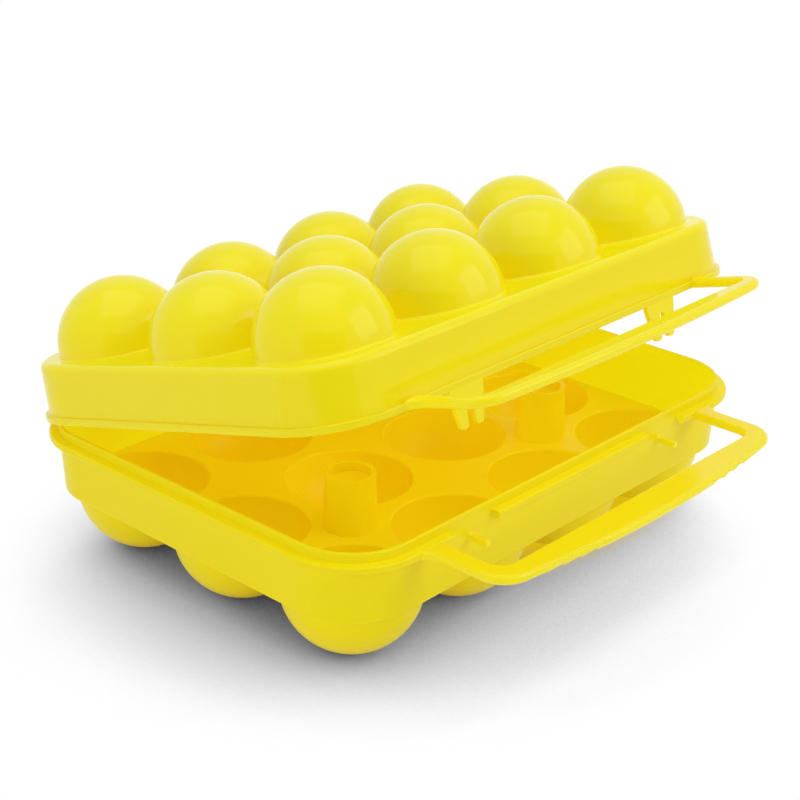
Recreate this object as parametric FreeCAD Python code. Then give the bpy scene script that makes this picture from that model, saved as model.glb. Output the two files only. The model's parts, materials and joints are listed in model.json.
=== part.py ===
import FreeCAD, Part
import math
import os

# A carrier for a dozen eggs, moulded in two halves.
# The base tray has a cup for each egg, and the lid has a dome over each cup.
# Each half is split here into its named features, which meet face to face.
# The lid turns on two clip hinges at the back and is modelled part open.
# Lengths are in millimetres and angles in degrees. +X runs along the long side, -Y is the handle side.

V = FreeCAD.Vector

# Egg cells
columns = 4
row_names = ("front", "middle", "back")
wall = 1.2
cup_radius = 21.9
foot_radius = 4.5
dome_radius = 20.9
dome_collar = 1.2
cell_edge_round = 0.8
cell_web = 3.2
rim_web = 2.1

# Base wall, lip and flange
corner_radius = 20.0
base_wall_height = 19.3
wall_draft = 1.0
deck_edge_round = 0.9
lip_height = 3.0
lip_round = 0.45
flange_reach = 3.0
flange_thickness = 1.4
bead_height = 2.4
bead_width = 1.8
bead_round = 0.6

# Lid wall and shoulder
lip_clearance = 0.3
parting_gap = 0.2
lid_wall_height = 18.8
lid_draft = 0.6
shoulder_round = 2.4
shoulder_drop = 3.0
lid_bead_reach = 1.4

# Carrying handles, one half on each moulding
handle_half_width = 69.0
handle_gap_depth = 21.5
handle_outer_round = 10.0
handle_inner_round = 5.0
handle_root_flare = 3.0
handle_root_round = 6.0
handle_arm_width = 6.5
handle_grip_width = 6.0
handle_bow = 5.0
base_handle_thickness = 3.0
lid_arm_width = 4.0
lid_grip_width = 5.2
lid_handle_bow = 3.2
lid_handle_thickness = 3.2
bow_share = 0.98
edge_round_share = 0.46

# Posts between the front and middle rows
post_columns = (1, 3)
post_height = 18.3
post_foot_radius = 8.6
post_top_radius = 7.85
post_wall = 1.35
post_recess = 3.0

# Latches at the front: a peg on the base wall and a split tongue under the lid rim
latch_offset = 47.0
notch_width = 19.0
peg_drop = 5.5
peg_radius = 1.1
peg_overhang = 4.0
peg_end_round = 0.5
peg_root_radius = 2.0
peg_root_length = 1.0
tongue_thickness = 1.5
tongue_stand_off = 1.6
tongue_root_gap = 0.3
tongue_root_width = 14.2
tongue_tip_width = 9.4
tongue_length = 11.6
tongue_tip_round = 1.2
slit_clearance = 0.2
slit_spread = 0.5
slit_lift = 1.3

# Clip hinges at the back
hinge_offset = 50.0
hinge_stand_off = 0.2
hinge_axis_drop = 2.3
hinge_pin_radius = 1.25
hinge_pin_clearance = 0.06
clip_radius = 2.5
clip_width = 10.0
clip_side_gap = 0.4
clip_mouth = 2.0
lug_thickness = 2.5
lug_radius = 2.3

# Rest pose
lid_open_angle = 15.8

# Overrun of cutting shapes past what they cut, and how close two points are to be one
overrun = 1.0
joined = 1e-6

# Sizes that follow from the ones above
cell_radius = max(cup_radius, dome_radius + cell_edge_round)
cell_pitch = 2 * cell_radius + cell_web
edge_margin = cell_radius + rim_web
half_length = (columns - 1) * cell_pitch / 2 + edge_margin
half_width = (len(row_names) - 1) * cell_pitch / 2 + edge_margin
flange_out = wall_draft + flange_reach
front_edge = half_width + flange_out
lid_wall_in = wall_draft + lip_clearance
lid_wall_out = lid_wall_in + wall
lid_shoulder_out = lid_wall_out - lid_draft
lid_bead_out = lid_wall_out + lid_bead_reach
lid_front_edge = half_width + lid_bead_out
cup_centre_drop = wall / 2
cup_depth = cup_centre_drop + math.sqrt(cup_radius ** 2 - foot_radius ** 2)
parting = base_wall_height
lid_foot = parting + parting_gap
lid_deck = lid_foot + lid_wall_height
hinge_y = front_edge + hinge_stand_off
hinge_z = parting - hinge_axis_drop
hinge_span = clip_width + 2 * clip_side_gap
peg_z = parting - peg_drop
slit_end_z = peg_z + slit_lift
tongue_axis_z = lid_foot - tongue_root_gap - tongue_thickness / 2


def on_front(x):
    """Section plane across the front rim at x, with u outward from the foot of the wall and v upward."""
    return lambda p: V(x, -half_width - p.x, p.y)


def at_height(z):
    """Level plane at height z."""
    return lambda p: V(p.x, p.y, z)


def across(y):
    """Upright plane facing the front at y."""
    return lambda p: V(p.x, y, p.y)


def side_on(x):
    """Upright plane facing the end at x."""
    return lambda p: V(x, p.x, p.y)


def corner_stops(before, here, after, radius):
    """Start, middle and end of the arc that rounds one corner."""
    back = (before - here).normalize()
    ahead = (after - here).normalize()
    half_angle = back.getAngle(ahead) / 2
    reach = radius / math.tan(half_angle)
    inward = (back + ahead).normalize()
    middle = here + inward * (radius / math.sin(half_angle) - radius)
    return here + back * reach, middle, here + ahead * reach


def rounded_wire(corners, place):
    """Closed wire through (u, v, radius) corners, set in space by place."""
    points = [V(u, v, 0) for u, v, radius in corners]
    stops = []
    for index, here in enumerate(points):
        radius = corners[index][2]
        after = points[(index + 1) % len(points)]
        if radius:
            stops.append(corner_stops(points[index - 1], here, after, radius))
        else:
            stops.append((here, None, here))
    edges = []
    for index, (start, middle, end) in enumerate(stops):
        following = stops[(index + 1) % len(stops)][0]
        if middle:
            edges.append(Part.Arc(place(start), place(middle), place(end)).toShape())
        edges.append(Part.makeLine(place(end), place(following)))
    return Part.Wire(edges)


def prism(corners, place, along):
    """Solid swept straight from a rounded outline."""
    return Part.Face(rounded_wire(corners, place)).extrude(along)


def mirrored(corners):
    """Outline completed by its mirror image in u."""
    return corners + [(-u, v, radius) for u, v, radius in reversed(corners) if u]


def rim_outline(offset):
    """Plan outline of the carrier, offset outward from the foot of the base wall."""
    x = half_length + offset
    y = half_width + offset
    radius = corner_radius + offset
    return [(0, -y, 0), (x, -y, radius), (x, y, radius), (-x, y, radius), (-x, -y, radius)]


def rim_sweep(section):
    """Rim section carried all round the plan outline."""
    path = rounded_wire(rim_outline(0), at_height(0))
    return path.makePipeShell([rounded_wire(section, on_front(0))], True, False)


def arc_edge(centre_r, centre_z, radius, start, end):
    """Arc in the lathe plane between two angles from the level."""
    points = []
    for angle in (start, (start + end) / 2, end):
        turn = math.radians(angle)
        points.append(V(centre_r + radius * math.cos(turn), 0, centre_z + radius * math.sin(turn)))
    return Part.Arc(*points).toShape()


def lathe(pieces):
    """Solid turned about Z from arcs and (r, z) points, joined in turn by straight lines."""
    edges = []
    ends = []
    for piece in pieces:
        if isinstance(piece, tuple):
            point = V(piece[0], 0, piece[1])
            ends.append((point, point))
        else:
            edges.append(piece)
            ends.append((piece.firstVertex().Point, piece.lastVertex().Point))
    for index, (start, end) in enumerate(ends):
        previous = ends[index - 1][1]
        if not start.isEqual(previous, joined):
            edges.append(Part.makeLine(previous, start))
    outline = Part.Wire(Part.sortEdges(edges)[0])
    return Part.Face(outline).revolve(V(0, 0, 0), V(0, 0, 1), 360)


def egg_cup():
    """One cup about its own centre, with its ring of deck on top at height zero."""
    inside = cup_radius - wall
    ring = (cup_radius + cell_pitch / 2) / 2
    mouth = math.sqrt((inside + cell_edge_round) ** 2 - (cell_edge_round - cup_centre_drop) ** 2)
    foot_angle = -math.degrees(math.acos(foot_radius / cup_radius))
    deck_angle = math.degrees(math.asin((cup_centre_drop - wall) / cup_radius))
    mouth_angle = math.degrees(math.atan2(cup_centre_drop - cell_edge_round, mouth))
    return lathe([
        (0, -cup_depth),
        arc_edge(0, -cup_centre_drop, cup_radius, foot_angle, deck_angle),
        (ring, -wall),
        (ring, 0),
        arc_edge(mouth, -cell_edge_round, cell_edge_round, 90, mouth_angle + 180),
        arc_edge(0, -cup_centre_drop, inside, mouth_angle, -90),
    ]), ring


def egg_dome():
    """One dome about its own centre, with its ring of lid deck at height zero."""
    inside = dome_radius - wall
    ring = (dome_radius + cell_pitch / 2) / 2
    return lathe([
        (ring, -wall),
        (ring, 0),
        arc_edge(dome_radius + cell_edge_round, cell_edge_round, cell_edge_round, 270, 180),
        arc_edge(0, dome_collar, dome_radius, 0, 90),
        arc_edge(0, dome_collar, inside, 90, 0),
        arc_edge(inside + cell_edge_round, cell_edge_round - wall, cell_edge_round, 180, 270),
    ]), ring


def cells():
    """Row name, number, centre and box corners of each egg cell, the outer cells reaching past the rim."""
    past = edge_margin + flange_out
    half = cell_pitch / 2
    rows = len(row_names)
    for row, row_name in enumerate(row_names):
        y = (row - (rows - 1) / 2) * cell_pitch
        front = past if row == 0 else half
        back = past if row == rows - 1 else half
        for column in range(columns):
            x = (column - (columns - 1) / 2) * cell_pitch
            left = past if column == 0 else half
            right = past if column == columns - 1 else half
            yield row_name, column + 1, V(x, y, 0), V(x - left, y - front, 0), V(x + right, y + back, 0)


def cell_tile(plate, bowl, ring, centre, low, high):
    """One cell's share of a deck plate, with its cup or dome set into it."""
    depth = plate.BoundBox.ZMax - plate.BoundBox.ZMin + 2 * overrun
    floor = V(low.x, low.y, plate.BoundBox.ZMin - overrun)
    cell = Part.makeBox(high.x - low.x, high.y - low.y, depth, floor)
    seat = Part.makeCylinder(ring, depth, V(centre.x, centre.y, floor.z))
    tile = plate.common(cell).cut(seat)
    return tile.fuse(bowl.translated(centre)).removeSplitter()


def rounded_plate(offset, top, thickness, radius, round_top):
    """Level plate to the plan outline, with its upper or lower edge rounded."""
    plate = prism(rim_outline(offset), at_height(top - thickness), V(0, 0, thickness))
    level = top if round_top else top - thickness
    rounded = []
    for edge in plate.Edges:
        box = edge.BoundBox
        if abs(box.ZMin - level) + abs(box.ZMax - level) < joined:
            rounded.append(edge)
    return plate.makeFillet(radius, rounded)


def base_deck():
    """Flat deck of the base, with its lower edge rounded, under the wall."""
    return rounded_plate(0, 0, wall, deck_edge_round, False)


def lid_cap():
    """Flat top of the lid with its rounded shoulder, hollow beneath."""
    outer = rounded_plate(lid_shoulder_out, 0, shoulder_drop, shoulder_round, True)
    hollow_depth = shoulder_drop - wall + overrun
    inner = rounded_plate(lid_shoulder_out - wall, -wall, hollow_depth, shoulder_round - wall, True)
    return outer.cut(inner)


def base_rim():
    """Wall of the base with its lip and flange, notched for the latch tongues and the hinge clips."""
    lip_top = parting + lip_height
    under = parting - flange_thickness
    bead_foot = parting - bead_height
    rim = rim_sweep([
        (0, 0, 0),
        (wall_draft, under, 0),
        (flange_out - bead_width, under, 0),
        (flange_out - bead_width, bead_foot, 0),
        (flange_out, bead_foot, bead_round),
        (flange_out, parting, bead_round),
        (wall_draft, parting, 0),
        (wall_draft, lip_top, lip_round),
        (wall_draft - wall, lip_top, lip_round),
        (wall_draft - wall, under, 0),
        (-wall, 0, 0),
    ])
    depth = flange_reach + overrun
    for side in (-1, 1):
        latch_at = V(side * latch_offset - notch_width / 2, -front_edge - overrun, 0)
        rim = rim.cut(Part.makeBox(notch_width, depth, parting + overrun, latch_at))
        hinge_at = V(side * hinge_offset - hinge_span / 2, front_edge - flange_reach, 0)
        rim = rim.cut(Part.makeBox(hinge_span, depth, parting + overrun, hinge_at))
    return rim


def lid_rim():
    """Wall of the lid below its shoulder, with the bead round its foot."""
    top = lid_wall_height - shoulder_drop
    rim = rim_sweep([
        (lid_wall_in, 0, 0),
        (lid_bead_out, 0, bead_round),
        (lid_bead_out, bead_height, bead_round),
        (lid_wall_out, bead_height, 0),
        (lid_shoulder_out, top, 0),
        (lid_shoulder_out - wall, top, 0),
        (lid_wall_in, bead_height, 0),
    ])
    return rim.translated(V(0, 0, lid_foot))


def grip_bow(bow):
    """Slope of a grip's outer edge at its corners, and the radius of its bow."""
    slope = math.atan2(2 * bow, handle_half_width)
    corner_run = handle_outer_round * math.tan(math.pi / 4 - slope / 2)
    return slope, bow_share * (handle_half_width / math.cos(slope) - corner_run) / math.tan(slope)


def handle(root, foot, thickness, arm_width, grip_width, bow):
    """Half of the carrying handle: two arms and a bowed grip, with its edges rounded."""
    x = handle_half_width
    grip_in = front_edge + handle_gap_depth
    grip_out = grip_in + grip_width
    slope, bow_round = grip_bow(bow)
    outline = mirrored([
        (0, -grip_out - 2 * bow, bow_round),
        (x, -grip_out, handle_outer_round),
        (x, -root - handle_root_flare, handle_root_round),
        (x + handle_root_flare, -root, 0),
    ])
    gap = mirrored([
        (x - arm_width, -grip_in, handle_inner_round),
        (x - arm_width, overrun - root, 0),
    ])
    up = V(0, 0, thickness)
    loop = prism(outline, at_height(foot), up).cut(prism(gap, at_height(foot), up))
    rounded = []
    for edge in loop.Edges:
        box = edge.BoundBox
        at_root = abs(box.YMin + root) < joined
        if box.ZMax - box.ZMin < joined and not at_root:
            rounded.append(edge)
    return loop.makeFillet(edge_round_share * thickness, rounded)


def post_places():
    """Centres of the posts on the line between the front and middle rows."""
    y = -(len(row_names) - 2) * cell_pitch / 2
    return [V((column - columns / 2) * cell_pitch, y, 0) for column in post_columns]


def post():
    """Tapered post, cored from below, with a shallow socket in its top."""
    taper = (post_foot_radius - post_top_radius) / post_height
    floor_top = post_height - post_recess
    floor_under = floor_top - wall
    return lathe([
        (post_foot_radius - post_wall, 0),
        (post_foot_radius, 0),
        (post_top_radius, post_height),
        (post_top_radius - post_wall, post_height),
        (post_top_radius - post_wall + taper * post_recess, floor_top),
        (0, floor_top),
        (0, floor_under),
        (post_foot_radius - post_wall - taper * floor_under, floor_under),
    ])


def post_core():
    """Round hole through the deck under a post."""
    return Part.makeCylinder(post_foot_radius - post_wall, wall + 2 * overrun, V(0, 0, -wall - overrun))


def latch_peg(side, rim):
    """Peg on the base wall, flared at its root and round at its end, where the tongue snaps over it."""
    length = flange_out + peg_overhang
    peg = lathe([
        (0, 0),
        (peg_root_radius, 0),
        (peg_radius, wall_draft + peg_root_length),
        arc_edge(peg_radius - peg_end_round, length - peg_end_round, peg_end_round, 0, 90),
        (0, length),
    ])
    peg.rotate(V(0, 0, 0), V(1, 0, 0), 90)
    return peg.translated(V(side * latch_offset, -half_width, peg_z)).cut(rim)


def latch_tongue(side):
    """Split tongue hung under the lid rim, rounded at its root where it bends."""
    x = side * latch_offset
    y = -half_width - wall_draft - tongue_stand_off
    root = tongue_axis_z
    tip = lid_foot - tongue_length
    slit = peg_radius + slit_clearance
    half_root = tongue_root_width / 2
    half_tip = tongue_tip_width / 2
    outline = [
        (x - half_root, root, 0),
        (x - half_tip, tip, tongue_tip_round),
        (x - slit - slit_spread, tip, tongue_tip_round),
        (x - slit, slit_end_z, 0),
        (x + slit, slit_end_z, 0),
        (x + slit + slit_spread, tip, tongue_tip_round),
        (x + half_tip, tip, tongue_tip_round),
        (x + half_root, root, 0),
    ]
    plate = prism(outline, across(y), V(0, -tongue_thickness, 0))
    eye = Part.makeCylinder(slit, tongue_thickness + 2 * overrun, V(x, y + overrun, slit_end_z), V(0, -1, 0))
    bend_at = V(x - half_root, y - tongue_thickness / 2, root)
    bend = Part.makeCylinder(tongue_thickness / 2, tongue_root_width, bend_at, V(1, 0, 0))
    return plate.cut(eye).fuse(bend).removeSplitter()


def hinge_bracket(side, rim):
    """Lugs under the back flange, one each side of its notch, with the hinge pin between them."""
    start = V(side * hinge_offset - hinge_span / 2, hinge_y, hinge_z)
    bracket = Part.makeCylinder(hinge_pin_radius, hinge_span, start, V(1, 0, 0))
    for x in (start.x - lug_thickness, start.x + hinge_span):
        lug = Part.makeCylinder(lug_radius, lug_thickness, V(x, hinge_y, hinge_z), V(1, 0, 0))
        bracket = bracket.fuse(lug.cut(rim))
    return bracket.removeSplitter()


def hinge_clip(side):
    """Clip under the back of the lid rim that snaps over the hinge pin, open below."""
    x = side * hinge_offset - clip_width / 2
    web = prism([
        (hinge_y - clip_radius, hinge_z, 0),
        (lid_front_edge, hinge_z, 0),
        (lid_front_edge, lid_foot, 0),
        (hinge_y - clip_radius, lid_foot, 0),
    ], side_on(x), V(clip_width, 0, 0))
    clip = web.fuse(Part.makeCylinder(clip_radius, clip_width, V(x, hinge_y, hinge_z), V(1, 0, 0)))
    bore = hinge_pin_radius + hinge_pin_clearance
    hole_at = V(x - overrun, hinge_y, hinge_z)
    clip = clip.cut(Part.makeCylinder(bore, clip_width + 2 * overrun, hole_at, V(1, 0, 0)))
    mouth_at = V(x - overrun, hinge_y - clip_mouth / 2, hinge_z - clip_radius - overrun)
    mouth = Part.makeBox(clip_width + 2 * overrun, clip_mouth, clip_radius + overrun, mouth_at)
    return clip.cut(mouth).removeSplitter()


def depth_shift():
    """Shift to the middle of the depth, from the base handle's grip to the open lid's back shoulder."""
    slope, bow_round = grip_bow(handle_bow)
    peak = 2 * handle_bow - bow_round * (1 / math.cos(slope) - 1)
    front = front_edge + handle_gap_depth + handle_grip_width + peak
    turn = math.radians(lid_open_angle)
    along = half_width + lid_shoulder_out - shoulder_round - hinge_y
    above = lid_deck - shoulder_round - hinge_z
    back = hinge_y + along * math.cos(turn) + above * math.sin(turn) + shoulder_round
    return (front - back) / 2


def on_base(shape):
    """Base feature moved so that the feet stand on the floor, midway along the carrier's depth."""
    return shape.translated(V(0, depth_shift(), cup_depth))


def on_lid(shape):
    """Lid feature turned open about the hinge and set on the base."""
    opened = shape.copy()
    opened.rotate(V(0, hinge_y, hinge_z), V(1, 0, 0), -lid_open_angle)
    return on_base(opened)


def base_nodes():
    """Features of the base tray by name."""
    nodes = {}
    rim = base_rim()
    deck = base_deck()
    cup, ring = egg_cup()
    for row_name, number, centre, low, high in cells():
        tile = cell_tile(deck, cup, ring, centre, low, high)
        for place in post_places():
            tile = tile.cut(post_core().translated(place))
        nodes[f"base_cup_{row_name}_{number}"] = tile
    nodes["base_rim"] = rim
    foot = parting - base_handle_thickness
    grip = (handle_arm_width, handle_grip_width, handle_bow)
    nodes["base_handle"] = handle(front_edge, foot, base_handle_thickness, *grip)
    for name, side, place in zip(("left", "right"), (-1, 1), post_places()):
        nodes[f"base_post_{name}"] = post().translated(place)
        nodes[f"latch_peg_{name}"] = latch_peg(side, rim)
        nodes[f"hinge_bracket_{name}"] = hinge_bracket(side, rim)
    return nodes


def lid_nodes():
    """Features of the lid by name, as they lie when it is shut."""
    nodes = {}
    cap = lid_cap()
    dome, ring = egg_dome()
    for row_name, number, centre, low, high in cells():
        tile = cell_tile(cap, dome, ring, centre, low, high)
        nodes[f"lid_dome_{row_name}_{number}"] = tile.translated(V(0, 0, lid_deck))
    nodes["lid_rim"] = lid_rim()
    grip = (lid_arm_width, lid_grip_width, lid_handle_bow)
    nodes["lid_handle"] = handle(lid_front_edge, lid_foot, lid_handle_thickness, *grip)
    for name, side in (("left", -1), ("right", 1)):
        nodes[f"latch_tongue_{name}"] = latch_tongue(side)
        nodes[f"hinge_clip_{name}"] = hinge_clip(side)
    return nodes


os.makedirs("parts", exist_ok=True)
for node, shape in base_nodes().items():
    on_base(shape).exportStep(f"parts/{node}.step")
for node, shape in lid_nodes().items():
    on_lid(shape).exportStep(f"parts/{node}.step")
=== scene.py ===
import json
import math

import bmesh
import bpy
from bpy.props import FloatProperty, FloatVectorProperty, PointerProperty
from mathutils import Matrix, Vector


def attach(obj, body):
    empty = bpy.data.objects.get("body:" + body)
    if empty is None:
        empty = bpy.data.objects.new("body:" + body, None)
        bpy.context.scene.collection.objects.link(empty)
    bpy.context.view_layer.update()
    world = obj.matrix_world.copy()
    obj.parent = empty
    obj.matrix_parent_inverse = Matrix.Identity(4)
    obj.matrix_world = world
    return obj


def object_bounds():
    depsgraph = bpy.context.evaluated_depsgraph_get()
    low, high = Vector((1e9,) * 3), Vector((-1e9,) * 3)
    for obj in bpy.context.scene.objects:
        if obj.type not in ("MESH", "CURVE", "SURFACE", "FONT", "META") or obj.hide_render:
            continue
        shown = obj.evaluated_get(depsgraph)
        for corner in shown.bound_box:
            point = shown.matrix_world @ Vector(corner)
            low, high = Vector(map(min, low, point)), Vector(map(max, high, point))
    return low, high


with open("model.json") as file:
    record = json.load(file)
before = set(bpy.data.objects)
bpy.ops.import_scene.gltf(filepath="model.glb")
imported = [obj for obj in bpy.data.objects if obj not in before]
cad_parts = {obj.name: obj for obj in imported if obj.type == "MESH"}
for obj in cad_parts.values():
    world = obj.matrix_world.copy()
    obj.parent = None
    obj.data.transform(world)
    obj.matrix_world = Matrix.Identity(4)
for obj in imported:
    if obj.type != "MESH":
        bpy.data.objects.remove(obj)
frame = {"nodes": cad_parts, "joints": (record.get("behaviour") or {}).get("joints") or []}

bl_info = {
    "name": "Egg Carrier",
    "version": (1, 0, 0),
    "blender": (4, 5, 0),
    "location": "3D View > Sidebar > Egg Carrier",
    "description": "Dresses a moulded egg carrier and sets it on a studio floor",
    "category": "Object",
}

CAD_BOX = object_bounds()
NODES = frame["nodes"]
LID_HINGE = next(joint for joint in frame["joints"] if joint["name"] == "lid_hinge")
LID_OPEN = -math.radians(LID_HINGE["range_deg"][0])
TONGUE_JOINTS = {
    side: next(joint for joint in frame["joints"] if joint["name"] == f"tongue_{side}_flex")
    for side in ("left", "right")
}

PLASTIC_IOR = 1.49
FLOW_SCALE = 18
WEAR_SCALE = 55
WEAR_RANGE = (0.45, 0.85)
SKIN_SCALE = 60
SKIN_STRENGTH = 0.08
SKIN_DEPTH = 0.0004
ROOT_ARC_STEPS = 16

FLOOR_SIDE = 12.0
SHADOW_RAYS = 16
CARD_WIDTH, CARD_HEIGHT = 1.1, 0.55
CARD_PLACE = (-0.62, -0.56, 0.33)
CARD_TURN = (math.radians(90), 0, math.radians(-48))
CARD_COLOUR = (0.03, 0.03, 0.03, 1)
LAMPS = {  # place and side of each square lamp, and whether the gloss shows it
    "key": ((0.5, -0.95, 0.72), 0.9, True),
    "top": ((-0.1, 0.15, 1.2), 1.1, True),
    "end": ((-0.9, 0.0, 0.22), 0.5, False),
}
LIGHT_BOUNCES, DIFFUSE_BOUNCES = 32, 24
SENSOR_WIDTH = 36
CAMERA_PLACE = (-0.39696, -0.34824, 0.27875)
CAMERA_RIGHT = (0.67868, -0.73431, 0.01327)
CAMERA_UP = (0.28731, 0.28208, 0.91536)
CAMERA_BACK = (-0.67590, -0.61742, 0.40242)


class PlasticFinishAndGlow(bpy.types.PropertyGroup):
    """Colour and surface of the moulded plastic, and the colours of the glow painted on it."""

    clear_colour: FloatVectorProperty(
        name="Clear colour", description="Yellow of the plain moulded plastic",
        subtype="COLOR", size=3, min=0, max=1, default=(0.98, 0.825, 0.002))
    milky_colour: FloatVectorProperty(
        name="Milky colour", description="Paler yellow where the melt has flowed unevenly",
        subtype="COLOR", size=3, min=0, max=1, default=(0.97, 0.815, 0.008))
    # The four light colours below are a painted glow: emission that stands in for light coming through the
    # plastic.
    inner_light: FloatVectorProperty(
        name="Inner light", description="Light that comes through the plastic to the inner faces",
        subtype="COLOR", size=3, min=0, max=1, default=(0.051, 0.073, 0.001))
    wall_light: FloatVectorProperty(
        name="Wall light", description="Light that comes through the side walls to their inner faces",
        subtype="COLOR", size=3, min=0, max=1, default=(0.08, 0.24, 0.002))
    top_light: FloatVectorProperty(
        name="Top light", description="Light that comes through the domes to the faces that look up",
        subtype="COLOR", size=3, min=0, max=1, default=(0.042, 0.078, 0.002))
    thin_light: FloatVectorProperty(
        name="Thin light", description="Light that comes through the handles, latches and hinges",
        subtype="COLOR", size=3, min=0, max=1, default=(0.055, 0.06, 0.003))
    gloss: FloatProperty(
        name="Gloss roughness", description="Roughness of the polished faces",
        subtype="FACTOR", min=0, max=1, default=0.13)
    sheen: FloatProperty(
        name="Sheen", description="Strength of the reflections on the polished faces",
        subtype="FACTOR", min=0, max=1, default=0.22)
    satin_sheen: FloatProperty(
        name="Satin sheen", description="Strength of the reflections on the base",
        subtype="FACTOR", min=0, max=1, default=0.13)
    satin: FloatProperty(
        name="Satin roughness", description="Roughness of the base, which is less polished",
        subtype="FACTOR", min=0, max=1, default=0.32)
    scuff: FloatProperty(
        name="Scuff", description="Roughness added where handling has dulled the gloss",
        subtype="FACTOR", min=0, max=1, default=0.09)


class TongueRoots(bpy.types.PropertyGroup):
    """Sizes of the webs that join the latch tongues to the lid."""

    width: FloatProperty(
        name="Width", description="Length of the root along the lid's edge",
        unit="LENGTH", min=0, default=0.0142)
    thickness: FloatProperty(
        name="Thickness", description="Thickness of the tongue at its bend",
        unit="LENGTH", min=0, default=0.0015)
    height: FloatProperty(
        name="Height", description="Top of the web above the bend's axis",
        unit="LENGTH", min=0, default=0.00165)
    clearance: FloatProperty(
        name="Clearance", description="Room between the web and the turning bend",
        unit="LENGTH", min=0, default=0.00002)


class StudioStage(bpy.types.PropertyGroup):
    """Floor with its painted shadow and painted pool of yellow light, light and camera."""

    floor_colour: FloatVectorProperty(
        name="Floor colour", description="Colour of the studio floor",
        subtype="COLOR", size=3, min=0, max=1, default=(0.94, 0.94, 0.94))
    # The floor's shadow is painted: its grey comes from how much sky the carrier hides, not from the lamps.
    shadow_reach: FloatProperty(
        name="Shadow reach", description="How far from the carrier its soft floor shadow goes",
        unit="LENGTH", min=0, default=0.115)
    shadow_lean: FloatVectorProperty(
        name="Shadow lean", description="Direction that the floor's light comes from",
        subtype="DIRECTION", size=3, default=(0.30, 0.05, 0.95))
    open_sky: FloatProperty(
        name="Open sky", description="Share of unhidden sky at which the floor is full white",
        subtype="FACTOR", min=0, max=1, default=0.70)
    # The floor under the tray gets a painted pool of yellow light, placed by the patch below, not cast through
    # the tray.
    tray_light: FloatVectorProperty(
        name="Light under the tray", description="Colour of the floor that is lit only through the tray",
        subtype="COLOR", size=3, min=0, max=1, default=(0.72, 0.49, 0.004))
    painted_pool_centre: FloatVectorProperty(
        name="Tint centre", description="Middle of the floor patch that is lit through the tray",
        subtype="XYZ", unit="LENGTH", size=3, default=(0.043, -0.022, 0))
    painted_pool_reach: FloatVectorProperty(
        name="Tint reach", description="How far the tint goes from its middle along each axis",
        subtype="XYZ", unit="LENGTH", size=3, default=(0.072, 0.036, 1))
    painted_pool_core: FloatProperty(
        name="Tint core", description="Share of the reach over which the tint is full",
        subtype="FACTOR", min=0, max=1, default=0.45)
    sky_strength: FloatProperty(
        name="Surround strength", description="Light from the white surround", min=0, default=0.45)
    key_power: FloatProperty(
        name="Key power", description="Power of the large lamp on the handle side",
        unit="POWER", min=0, default=4.7)
    top_power: FloatProperty(
        name="Top power", description="Power of the overhead lamp",
        unit="POWER", min=0, default=3.9)
    end_power: FloatProperty(
        name="End power", description="Power of the low lamp at the left end",
        unit="POWER", min=0, default=1.5)
    lens: FloatProperty(
        name="Lens", description="Focal length on a 36 mm sensor", unit="CAMERA", default=79.63)


def mixed(tree, kind, factor, first, second):
    """Output of a mix of two sockets by a third."""
    mix = tree.nodes.new("ShaderNodeMix")
    mix.data_type = kind
    sockets = [socket for socket in mix.inputs if socket.enabled]
    for source, socket in zip((factor, first, second), sockets):
        tree.links.new(source, socket)
    return next(socket for socket in mix.outputs if socket.enabled)


def noise(tree, position, scale, detail, roughness=0.5, distortion=0.0):
    """Value of a noise texture at a position."""
    texture = tree.nodes.new("ShaderNodeTexNoise")
    texture.inputs["Scale"].default_value = scale
    texture.inputs["Detail"].default_value = detail
    texture.inputs["Roughness"].default_value = roughness
    texture.inputs["Distortion"].default_value = distortion
    tree.links.new(position, texture.inputs["Vector"])
    return texture.outputs["Fac"]


def shader_group(name, takes, gives):
    """New shader group with named sockets, and its given and resulting sockets."""
    group = bpy.data.node_groups.new(name, "ShaderNodeTree")
    for way, sockets in (("INPUT", takes), ("OUTPUT", gives)):
        for label, kind in sockets.items():
            group.interface.new_socket(label, in_out=way, socket_type=f"NodeSocket{kind}")
    given = group.nodes.new("NodeGroupInput").outputs
    result = group.nodes.new("NodeGroupOutput").inputs
    return group, given, result


def vector_math(tree, operation, first, second=None):
    """Vector math node on a socket, and a second socket or fixed value where one is given."""
    step = tree.nodes.new("ShaderNodeVectorMath")
    step.operation = operation
    tree.links.new(first, step.inputs[0])
    if isinstance(second, bpy.types.NodeSocket):
        tree.links.new(second, step.inputs[1])
    elif second is not None:
        step.inputs[1].default_value = second
    return step


def plastic_flow_group():
    """Shader group for the uneven flow, dulling and skin of a moulded plastic."""
    group, given, result = shader_group(
        "plastic_flow",
        {"Position": "Vector", "Clear": "Color", "Milky": "Color", "Gloss": "Float", "Scuff": "Float"},
        {"Colour": "Color", "Roughness": "Float", "Skin": "Float"})
    position = given["Position"]

    flow = noise(group, position, FLOW_SCALE, 3, distortion=0.6)
    group.links.new(mixed(group, "RGBA", flow, given["Clear"], given["Milky"]), result["Colour"])

    worn = group.nodes.new("ShaderNodeMapRange")
    worn.inputs["From Min"].default_value, worn.inputs["From Max"].default_value = WEAR_RANGE
    group.links.new(noise(group, position, WEAR_SCALE, 6, roughness=0.62), worn.inputs["Value"])
    dulled = mixed(group, "FLOAT", worn.outputs["Result"], given["Gloss"], given["Scuff"])
    group.links.new(dulled, result["Roughness"])

    group.links.new(noise(group, position, SKIN_SCALE, 1), result["Skin"])
    return group


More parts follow.
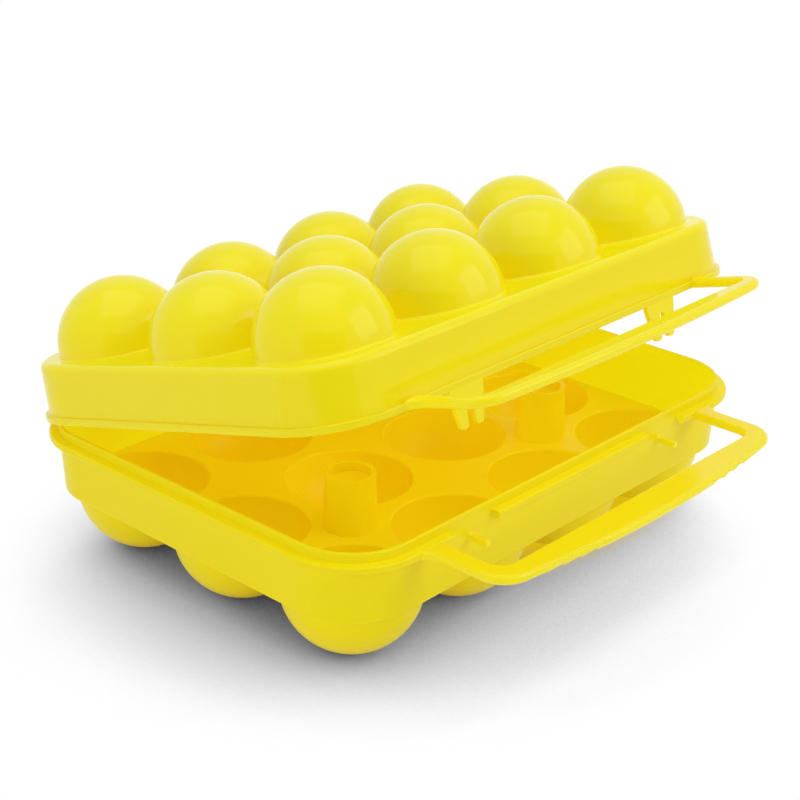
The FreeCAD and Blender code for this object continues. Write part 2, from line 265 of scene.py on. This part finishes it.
def lit_inside_group():
    """Shader group for a painted glow that stands in for light coming through thin plastic, on its inner and
    level faces.
    """
    group, given, result = shader_group(
        "lit_inside",
        {"Position": "Vector", "Facing": "Vector", "Inward": "Vector",
         "Inner": "Color", "Wall": "Color", "Outer": "Color"},
        {"Light": "Color"})

    def facing(direction):
        """How far a face looks in a direction, from none to one."""
        share = vector_math(group, "DOT_PRODUCT", direction, given["Facing"])
        only = group.nodes.new("ShaderNodeClamp")
        group.links.new(share.outputs["Value"], only.inputs["Value"])
        return only.outputs["Result"]

    level = vector_math(group, "MULTIPLY", given["Position"], (-1, -1, 0))
    middle = vector_math(group, "NORMALIZE", level.outputs["Vector"])
    outward = vector_math(group, "MULTIPLY", given["Inward"], (-1, -1, -1))
    none = group.nodes.new("ShaderNodeRGB").outputs["Color"]
    none.default_value = (0, 0, 0, 1)
    # Painted glow: outer, inner and middle-facing faces each get their own glow colour.
    outer = mixed(group, "RGBA", facing(outward.outputs["Vector"]), none, given["Outer"])
    inner = mixed(group, "RGBA", facing(given["Inward"]), outer, given["Inner"])
    light = mixed(group, "RGBA", facing(middle.outputs["Vector"]), inner, given["Wall"])
    group.links.new(light, result["Light"])
    return group


def light_inside(material, inward, inner, wall, outer=(0, 0, 0)):
    """Paints a glow on a plastic's inner faces, and its outer level ones, in place of the light that comes
    through it.
    """
    nodes, links = material.node_tree.nodes, material.node_tree.links
    shader = nodes["Principled BSDF"]
    place = nodes["Texture Coordinate"]
    light = nodes.new("ShaderNodeGroup")
    light.node_tree = bpy.data.node_groups.get("lit_inside") or lit_inside_group()
    light.inputs["Inward"].default_value = inward
    light.inputs["Inner"].default_value = (*inner, 1)
    light.inputs["Wall"].default_value = (*wall, 1)
    light.inputs["Outer"].default_value = (*outer, 1)
    links.new(place.outputs["Object"], light.inputs["Position"])
    links.new(place.outputs["Normal"], light.inputs["Facing"])
    # Painted glow: these faces shine through the emission, without a lamp.
    links.new(light.outputs["Light"], shader.inputs["Emission Color"])
    shader.inputs["Emission Strength"].default_value = 1
    return material


def moulded_plastic(name, finish_and_glow, gloss, sheen):
    """Yellow plastic of a given roughness and sheen, made once under a name."""
    made = bpy.data.materials.get(name)
    if made:
        return made
    made = bpy.data.materials.new(name)
    made.use_nodes = True
    nodes, links = made.node_tree.nodes, made.node_tree.links
    shader = nodes["Principled BSDF"]
    shader.inputs["IOR"].default_value = PLASTIC_IOR
    shader.inputs["Specular IOR Level"].default_value = sheen
    place = nodes.new("ShaderNodeTexCoord")
    flow = nodes.new("ShaderNodeGroup")
    flow.node_tree = bpy.data.node_groups.get("plastic_flow") or plastic_flow_group()
    flow.inputs["Clear"].default_value = (*finish_and_glow.clear_colour, 1)
    flow.inputs["Milky"].default_value = (*finish_and_glow.milky_colour, 1)
    flow.inputs["Gloss"].default_value = gloss
    flow.inputs["Scuff"].default_value = gloss + finish_and_glow.scuff
    links.new(place.outputs["Object"], flow.inputs["Position"])
    links.new(flow.outputs["Colour"], shader.inputs["Base Color"])
    links.new(flow.outputs["Roughness"], shader.inputs["Roughness"])
    bump = nodes.new("ShaderNodeBump")
    bump.inputs["Strength"].default_value = SKIN_STRENGTH
    bump.inputs["Distance"].default_value = SKIN_DEPTH
    links.new(flow.outputs["Skin"], bump.inputs["Height"])
    links.new(bump.outputs["Normal"], shader.inputs["Normal"])
    return made


def thin_plastic(finish_and_glow):
    """Plastic of the slim pieces, with an even glow painted on as if lit through from all round."""
    made = moulded_plastic("thin_plastic", finish_and_glow, finish_and_glow.gloss, finish_and_glow.sheen)
    shader = made.node_tree.nodes["Principled BSDF"]
    # Painted glow: an even emission stands in for light through the slim pieces.
    shader.inputs["Emission Color"].default_value = (*finish_and_glow.thin_light, 1)
    shader.inputs["Emission Strength"].default_value = 1
    return made


def dress(prefixes, material):
    """Gives a material to every CAD node whose name starts with one of the prefixes."""
    for name, node in NODES.items():
        if name.startswith(prefixes):
            node.data.materials.clear()
            node.data.materials.append(material)


class CARRIER_OT_base(bpy.types.Operator):
    """Dress the base tray: cups, posts, rim and handle"""

    bl_idname = "carrier.base"
    bl_label = "Base tray"

    def execute(self, context):
        finish_and_glow = context.scene.carrier_finish
        up = (0, 0, 1)
        inner = finish_and_glow.inner_light
        cups = moulded_plastic("cup_plastic", finish_and_glow, finish_and_glow.satin, finish_and_glow.satin_sheen)
        # Painted glow on the faces of cups and posts that look up.
        dress(("base_cup", "base_post"), light_inside(cups, up, inner, inner))
        walls = moulded_plastic("tray_plastic", finish_and_glow, finish_and_glow.satin, finish_and_glow.satin_sheen)
        # Painted glow on the rim's faces that look up, stronger on the wall faces that look towards the
        # middle.
        dress(("base_rim",), light_inside(walls, up, inner, finish_and_glow.wall_light))
        dress(("base_handle",), thin_plastic(finish_and_glow))
        return {"FINISHED"}


class CARRIER_OT_lid(bpy.types.Operator):
    """Dress the lid: rim, domes and handle"""

    bl_idname = "carrier.lid"
    bl_label = "Lid"

    def execute(self, context):
        finish_and_glow = context.scene.carrier_finish
        down = (0, 0, -1)
        inner = finish_and_glow.inner_light
        shell = moulded_plastic("lid_plastic", finish_and_glow, finish_and_glow.gloss, finish_and_glow.sheen)
        # Painted glow on the lid's faces that look down.
        dress(("lid_rim",), light_inside(shell, down, inner, inner))
        domes = moulded_plastic("dome_plastic", finish_and_glow, finish_and_glow.gloss, finish_and_glow.sheen)
        # Painted glow on the domes' faces that look down, and on their outer faces that look up.
        dress(("lid_dome",), light_inside(domes, down, inner, inner, finish_and_glow.top_light))
        dress(("lid_handle",), thin_plastic(finish_and_glow))
        return {"FINISHED"}


def tongue_root(side, roots, material):
    """Web between the lid's bead and the bend of a tongue, hollowed to let the bend turn."""
    near = -roots.width / 2
    half = roots.thickness / 2
    hollow = half + roots.clearance
    foot = math.sqrt(hollow ** 2 - half ** 2)
    shape = bmesh.new()
    at = shape.verts.new((near, half, foot))
    arc = bmesh.ops.spin(
        shape, geom=[at], cent=(near, 0, 0), axis=(1, 0, 0),
        angle=math.pi - 2 * math.acos(half / hollow), steps=ROOT_ARC_STEPS)
    last = next(item for item in arc["geom_last"] if isinstance(item, bmesh.types.BMVert))
    corners = [shape.verts.new((near, y, roots.height)) for y in (-half, half)]
    for ends in ((last, corners[0]), corners, (corners[1], at)):
        shape.edges.new(ends)
    section = bmesh.ops.contextual_create(shape, geom=shape.edges[:])["faces"]
    swept = bmesh.ops.extrude_face_region(shape, geom=section)["geom"]
    far = [item for item in swept if isinstance(item, bmesh.types.BMVert)]
    bmesh.ops.translate(shape, vec=(roots.width, 0, 0), verts=far)
    bmesh.ops.recalc_face_normals(shape, faces=shape.faces[:])
    place = Matrix.Translation(TONGUE_JOINTS[side]["pos_m"]) @ Matrix.Rotation(-LID_OPEN, 4, "X")
    bmesh.ops.transform(shape, matrix=place, verts=shape.verts[:])
    mesh = bpy.data.meshes.new(f"tongue_root_{side}")
    shape.to_mesh(mesh)
    shape.free()
    mesh.materials.append(material)
    root = bpy.data.objects.new(f"tongue_root_{side}", mesh)
    bpy.context.scene.collection.objects.link(root)
    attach(root, "lid")


class CARRIER_OT_fittings(bpy.types.Operator):
    """Dress the latches and hinges, and add the roots of the latch tongues"""

    bl_idname = "carrier.fittings"
    bl_label = "Latches and hinges"

    def execute(self, context):
        finish_and_glow = context.scene.carrier_finish
        thin = thin_plastic(finish_and_glow)
        # Latches, hinges and tongue roots get the even painted glow of the thin plastic.
        dress(("latch_", "hinge_"), thin)
        for side in TONGUE_JOINTS:
            tongue_root(side, context.scene.carrier_roots, thin)
        return {"FINISHED"}


def soft_lamp(name, place, target, side, power):
    """Square area lamp facing a point."""
    light = bpy.data.lights.new(name, "AREA")
    light.shape = "SQUARE"
    light.size = side
    light.energy = power
    lamp = bpy.data.objects.new(name, light)
    lamp.location = place
    lamp.rotation_euler = (target - lamp.location).to_track_quat("-Z", "Y").to_euler()
    bpy.context.scene.collection.objects.link(lamp)
    return lamp


def flat_sheet(name, width, length):
    """Level rectangle about its own middle."""
    mesh = bpy.data.meshes.new(name)
    shape = bmesh.new()
    bmesh.ops.create_grid(shape, x_segments=1, y_segments=1, size=0.5)
    bmesh.ops.scale(shape, vec=(width, length, 1), verts=shape.verts)
    shape.to_mesh(mesh)
    shape.free()
    sheet = bpy.data.objects.new(name, mesh)
    bpy.context.scene.collection.objects.link(sheet)
    return sheet


def seen_by(nodes, links, *kinds):
    """Value of one for rays of the named kinds."""
    path = nodes.new("ShaderNodeLightPath")
    seen = path.outputs[f"Is {kinds[0]} Ray"]
    for kind in kinds[1:]:
        either = nodes.new("ShaderNodeMath")
        either.operation = "MAXIMUM"
        links.new(seen, either.inputs[0])
        links.new(path.outputs[f"Is {kind} Ray"], either.inputs[1])
        seen = either.outputs["Value"]
    return seen


class CARRIER_OT_stage(bpy.types.Operator):
    """Set the floor, the surround, the lamps, the dark card and the camera"""

    bl_idname = "carrier.stage"
    bl_label = "Stage"

    def execute(self, context):
        stage = context.scene.carrier_stage
        self.lay_floor(stage)
        self.light_surround(context.scene, stage)
        centre = (CAD_BOX[0] + CAD_BOX[1]) / 2
        for name, (place, side, shows) in LAMPS.items():
            lamp = soft_lamp(f"{name}_lamp", place, centre, side, getattr(stage, f"{name}_power"))
            lamp.visible_glossy = shows
        self.stand_card()
        self.set_camera(context.scene, stage)
        context.scene.view_settings.view_transform = "Standard"
        context.scene.cycles.max_bounces = LIGHT_BOUNCES
        context.scene.cycles.diffuse_bounces = DIFFUSE_BOUNCES
        return {"FINISHED"}

    def lay_floor(self, stage):
        """White floor under the feet, with the carrier's shadow painted on it."""
        floor = flat_sheet("floor", FLOOR_SIDE, FLOOR_SIDE)
        floor.data.materials.append(self.floor_paper(stage))

    def floor_paper(self, stage):
        """White paper with a painted shadow, darker where the carrier hides the sky, and a painted pool of
        yellow light in a patch under the tray.
        """
        paper = bpy.data.materials.new("floor_paper")
        paper.use_nodes = True
        nodes, links = paper.node_tree.nodes, paper.node_tree.links
        nodes.remove(nodes["Principled BSDF"])
        diffuse = nodes.new("ShaderNodeBsdfDiffuse")
        diffuse.inputs["Color"].default_value = (*stage.floor_colour, 1)
        shade = nodes.new("ShaderNodeAmbientOcclusion")
        shade.samples = SHADOW_RAYS
        shade.inputs["Distance"].default_value = stage.shadow_reach
        lean = nodes.new("ShaderNodeCombineXYZ")
        for axis, part in zip("XYZ", stage.shadow_lean):
            lean.inputs[axis].default_value = part
        links.new(lean.outputs["Vector"], shade.inputs["Normal"])
        # Painted shadow: the floor's grey comes from ambient occlusion, not from the lamps.
        painted_shadow = nodes.new("ShaderNodeMapRange")
        painted_shadow.inputs["From Max"].default_value = stage.open_sky
        links.new(shade.outputs["AO"], painted_shadow.inputs["Value"])
        # Painted pool of yellow light under the tray.
        under = nodes.new("ShaderNodeRGB")
        under.outputs["Color"].default_value = (*stage.tray_light, 1)
        painted_pool_mask = self.under_tray(paper.node_tree, stage)
        painted_floor_tone = mixed(paper.node_tree, "RGBA", painted_pool_mask, painted_shadow.outputs["Result"], under.outputs["Color"])
        white = nodes.new("ShaderNodeEmission")
        links.new(painted_floor_tone, white.inputs["Color"])
        both = nodes.new("ShaderNodeMixShader")
        links.new(seen_by(nodes, links, "Camera", "Glossy", "Transmission"), both.inputs["Fac"])
        links.new(diffuse.outputs["BSDF"], both.inputs[1])
        links.new(white.outputs["Emission"], both.inputs[2])
        links.new(both.outputs["Shader"], nodes["Material Output"].inputs["Surface"])
        return paper

    def under_tray(self, tree, stage):
        """Mask of the painted pool of light: one on the floor patch under the tray, falling softly to none at
        its edge.
        """
        spot = tree.nodes.new("ShaderNodeTexCoord").outputs["Object"]
        offset = vector_math(tree, "SUBTRACT", spot, stage.painted_pool_centre)
        share = vector_math(tree, "DIVIDE", offset.outputs["Vector"], stage.painted_pool_reach)
        away = vector_math(tree, "LENGTH", share.outputs["Vector"])
        fade = tree.nodes.new("ShaderNodeMapRange")
        fade.interpolation_type = "SMOOTHSTEP"
        fade.inputs["From Min"].default_value = 1
        fade.inputs["From Max"].default_value = stage.painted_pool_core
        tree.links.new(away.outputs["Value"], fade.inputs["Value"])
        return fade.outputs["Result"]

    def stand_card(self):
        """Dark card on the camera side, which shows only as a reflection in the gloss."""
        card = flat_sheet("dark_card", CARD_WIDTH, CARD_HEIGHT)
        card.location = CARD_PLACE
        card.rotation_euler = CARD_TURN
        for kind in ("camera", "diffuse", "transmission", "volume_scatter", "shadow"):
            setattr(card, f"visible_{kind}", False)
        dark = bpy.data.materials.new("dark_card")
        dark.use_nodes = True
        dark.node_tree.nodes["Principled BSDF"].inputs["Base Color"].default_value = CARD_COLOUR
        card.data.materials.append(dark)

    def light_surround(self, scene, stage):
        """Even white surround, full white where it is seen."""
        scene.world = scene.world or bpy.data.worlds.new("surround")
        scene.world.use_nodes = True
        nodes, links = scene.world.node_tree.nodes, scene.world.node_tree.links
        sky = nodes["Background"]
        sky.inputs["Color"].default_value = (1, 1, 1, 1)
        level = nodes.new("ShaderNodeMapRange")
        level.inputs["To Min"].default_value = stage.sky_strength
        level.inputs["To Max"].default_value = 1
        links.new(seen_by(nodes, links, "Camera", "Glossy", "Transmission"), level.inputs["Value"])
        links.new(level.outputs["Result"], sky.inputs["Strength"])

    def set_camera(self, scene, stage):
        """Camera at the photograph's place."""
        eye = bpy.data.cameras.new("camera")
        eye.sensor_width = SENSOR_WIDTH
        eye.lens = stage.lens
        camera = bpy.data.objects.new("camera", eye)
        turn = Matrix((CAMERA_RIGHT, CAMERA_UP, CAMERA_BACK)).transposed().to_4x4()
        camera.matrix_world = Matrix.Translation(CAMERA_PLACE) @ turn
        scene.collection.objects.link(camera)
        scene.camera = camera


class CARRIER_PT_panel(bpy.types.Panel):
    """Pieces of the egg carrier"""

    bl_idname = "CARRIER_PT_panel"
    bl_label = "Egg Carrier"
    bl_space_type = "VIEW_3D"
    bl_region_type = "UI"
    bl_category = "Egg Carrier"

    def draw(self, context):
        scene = context.scene
        for group in (scene.carrier_finish, scene.carrier_roots, scene.carrier_stage):
            column = self.layout.column()
            for name in group.bl_rna.properties.keys():
                if name not in ("rna_type", "name"):
                    column.prop(group, name)
        for operator in OPERATORS:
            self.layout.operator(operator.bl_idname)


GROUPS = {
    "carrier_finish": PlasticFinishAndGlow,
    "carrier_roots": TongueRoots,
    "carrier_stage": StudioStage,
}
OPERATORS = (CARRIER_OT_base, CARRIER_OT_lid, CARRIER_OT_fittings, CARRIER_OT_stage)


def register():
    for name, group in GROUPS.items():
        bpy.utils.register_class(group)
        setattr(bpy.types.Scene, name, PointerProperty(type=group))
    for made in (*OPERATORS, CARRIER_PT_panel):
        bpy.utils.register_class(made)


def unregister():
    for made in (CARRIER_PT_panel, *reversed(OPERATORS)):
        bpy.utils.unregister_class(made)
    for name, group in GROUPS.items():
        delattr(bpy.types.Scene, name)
        bpy.utils.unregister_class(group)


def main():
    register()
    bpy.ops.carrier.base()
    bpy.ops.carrier.lid()
    bpy.ops.carrier.fittings()
    bpy.ops.carrier.stage()


if __name__ == "__main__":
    main()
